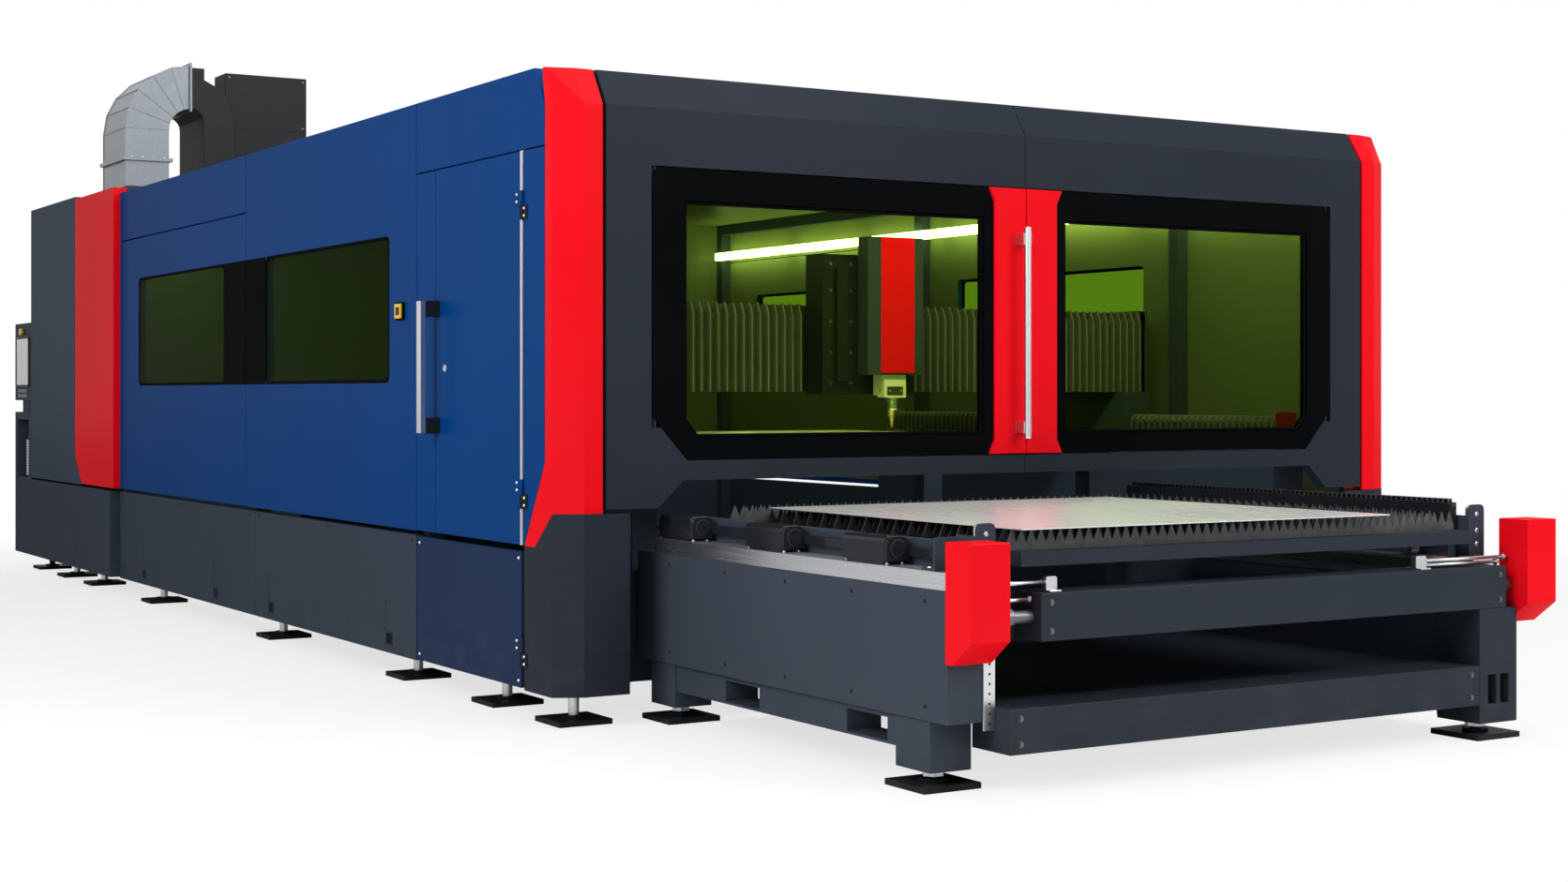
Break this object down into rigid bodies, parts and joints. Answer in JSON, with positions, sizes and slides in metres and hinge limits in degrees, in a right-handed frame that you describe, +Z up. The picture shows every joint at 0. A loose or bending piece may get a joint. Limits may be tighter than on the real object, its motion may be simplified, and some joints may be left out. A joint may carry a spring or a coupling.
{
  "type": "fiber laser cutting machine",
  "caption": "Closed laser cutting cabin with a gantry-carried cutting head behind green glazed double doors, fed by a two-level pallet exchange table.",
  "frame": {"origin": "on the floor, under the middle of the bounding box", "axes": "+X to the right across the front, +Y from the front table towards the rear, +Z up"},
  "size_m": [4.439, 10.91, 3.55],
  "materials": {
    "paint_gray": "fine textured dark grey powder coat",
    "paint_blue": "satin blue powder coat",
    "paint_navy": "satin dark blue powder coat",
    "paint_red": "satin red powder coat",
    "black_metal": "black satin paint",
    "black_gloss": "gloss black glazing border",
    "stainless": "brushed stainless steel",
    "sheet_metal": "bright rolled sheet",
    "zinc": "galvanised sheet",
    "laser_glass": "green laser safety glazing",
    "light_diffuser": "frosted light strip",
    "folded_cloth": "coated bellows cloth",
    "head_white": "satin off-white paint",
    "brass": "turned brass",
    "yellow_plastic": "yellow push button",
    "screen": "dark display glass",
    "white_hose": "white hose",
    "wheel_steel": "dark steel wheels"
  },
  "bodies": {
    "machine": {"bed_frame": "paint_gray", "leveling_feet": "black_metal", "cabin_frame": "paint_gray", "roof": "paint_gray", "kick_panels": "paint_gray", "corner_bases": "paint_gray", "corner_posts": "paint_red", "front_frames": "paint_gray", "door_surround": "paint_blue", "wall_panels_left": "paint_blue", "wall_panels_right": "paint_blue", "side_windows": "laser_glass", "black_trim": "black_gloss", "rear_accents": "paint_red", "rear_cabinet": "paint_gray", "exhaust_duct": "zinc", "exhaust_fan": "black_metal", "console": "paint_gray", "console_screen": "screen", "hose_coil": "white_hose", "light_strips": "light_diffuser", "rails": "stainless", "rail_guards": "folded_cloth", "table_sides": "paint_gray", "table_rails": "stainless", "guide_boxes": "black_metal", "end_covers": "paint_red", "table_beams": "paint_gray", "hinges": "black_metal"},
    "gantry": {"gantry": "paint_gray", "gantry_bellows": "folded_cloth"},
    "carriage": {"carriage": "black_metal", "head_cover": "paint_gray", "cover_strip": "paint_red"},
    "head": {"head_body": "head_white", "nozzle": "brass"},
    "outer_pallet": {"outer_pallet": "paint_gray", "outer_slats": "stainless", "outer_sheet": "sheet_metal"},
    "outer_front_axle": {"outer_front_wheels": "wheel_steel"},
    "outer_rear_axle": {"outer_rear_wheels": "wheel_steel"},
    "lift": {"lift_hooks": "stainless", "inner_pallet": "paint_gray", "inner_slats": "stainless", "inner_sheet": "sheet_metal"},
    "inner_front_axle": {"inner_front_wheels": "wheel_steel"},
    "inner_rear_axle": {"inner_rear_wheels": "wheel_steel"},
    "left_leaf": {"front_door_left": "black_gloss", "front_glass_left": "laser_glass", "front_stile_left": "paint_red", "front_handle": "stainless"},
    "right_leaf": {"front_door_right": "black_gloss", "front_glass_right": "laser_glass", "front_stile_right": "paint_red"},
    "side_door": {"side_door": "paint_blue", "side_handle": "stainless"},
    "access_door": {"access_door": "paint_navy"},
    "door_button": {"door_button": "yellow_plastic"},
    "stop_button": {"stop_button": "yellow_plastic"},
    "drive_shaft": {"drive_shaft": "stainless"}
  },
  "joints": [
    {"name": "gantry_travel", "type": "slide", "parent": "machine", "child": "gantry", "axis": [0, 1, 0], "range_m": [-0.85, 1.2], "deforming": ["rail_guards"]},
    {"name": "carriage_travel", "type": "slide", "parent": "gantry", "child": "carriage", "axis": [1, 0, 0], "range_m": [-1.45, 0.4], "deforming": ["gantry_bellows"]},
    {"name": "head_lift", "type": "slide", "parent": "carriage", "child": "head", "axis": [0, 0, 1], "range_m": [-0.015, 0.12]},
    {"name": "pallet_travel", "type": "slide", "parent": "machine", "child": "outer_pallet", "axis": [0, 1, 0], "range_m": [0, 2.01]},
    {"name": "pallet_lift", "type": "slide", "parent": "machine", "child": "lift", "axis": [0, 0, 1], "range_m": [-0.247, 0]},
    {"name": "left_leaf_swing", "type": "hinge", "parent": "machine", "child": "left_leaf", "pos_m": [-1.7245, -3.489, 1.5], "axis": [0, 0, -1], "range_deg": [0, 95]},
    {"name": "right_leaf_swing", "type": "hinge", "parent": "machine", "child": "right_leaf", "pos_m": [1.7735, -3.489, 1.5], "axis": [0, 0, 1], "range_deg": [0, 95]},
    {"name": "side_door_swing", "type": "hinge", "parent": "machine", "child": "side_door", "pos_m": [-2.1355, -3.191, 1.42], "axis": [0, 0, 1], "range_deg": [0, 110]},
    {"name": "access_door_swing", "type": "hinge", "parent": "machine", "child": "access_door", "pos_m": [-2.1355, -3.191, 0.386], "axis": [0, 0, 1], "range_deg": [0, 100]},
    {"name": "door_button_push", "type": "slide", "parent": "machine", "child": "door_button", "axis": [1, 0, 0], "range_m": [0, 0.004], "stiffness_N_per_m": 600},
    {"name": "stop_button_push", "type": "slide", "parent": "machine", "child": "stop_button", "axis": [1, 0, 0], "range_m": [0, 0.006], "stiffness_N_per_m": 900},
    {"name": "drive_turn", "type": "hinge", "parent": "machine", "child": "drive_shaft", "pos_m": [-0.3755, -5.355, 0.5495], "axis": [1, 0, 0], "range_deg": [-5, 1925]},
    {"name": "outer_front_roll", "type": "hinge", "parent": "outer_pallet", "child": "outer_front_axle", "pos_m": [-0.4005, -5.095, 0.678], "axis": [1, 0, 0], "range_deg": [-4170, 5]},
    {"name": "outer_rear_roll", "type": "hinge", "parent": "outer_pallet", "child": "outer_rear_axle", "pos_m": [-0.4005, -3.715, 0.678], "axis": [1, 0, 0], "range_deg": [-4170, 5]},
    {"name": "inner_front_roll", "type": "hinge", "parent": "lift", "child": "inner_front_axle", "pos_m": [-0.4005, -3.085, 0.925], "axis": [1, 0, 0], "continuous": true},
    {"name": "inner_rear_roll", "type": "hinge", "parent": "lift", "child": "inner_rear_axle", "pos_m": [-0.4005, -1.705, 0.925], "axis": [1, 0, 0], "continuous": true}
  ],
  "couplings": [
    {"joint": "drive_turn", "follows": "pallet_travel", "rad_per_m": 16.667},
    {"joint": "outer_front_roll", "follows": "pallet_travel", "rad_per_m": -36.1},
    {"joint": "outer_rear_roll", "follows": "pallet_travel", "rad_per_m": -36.1}
  ]
}
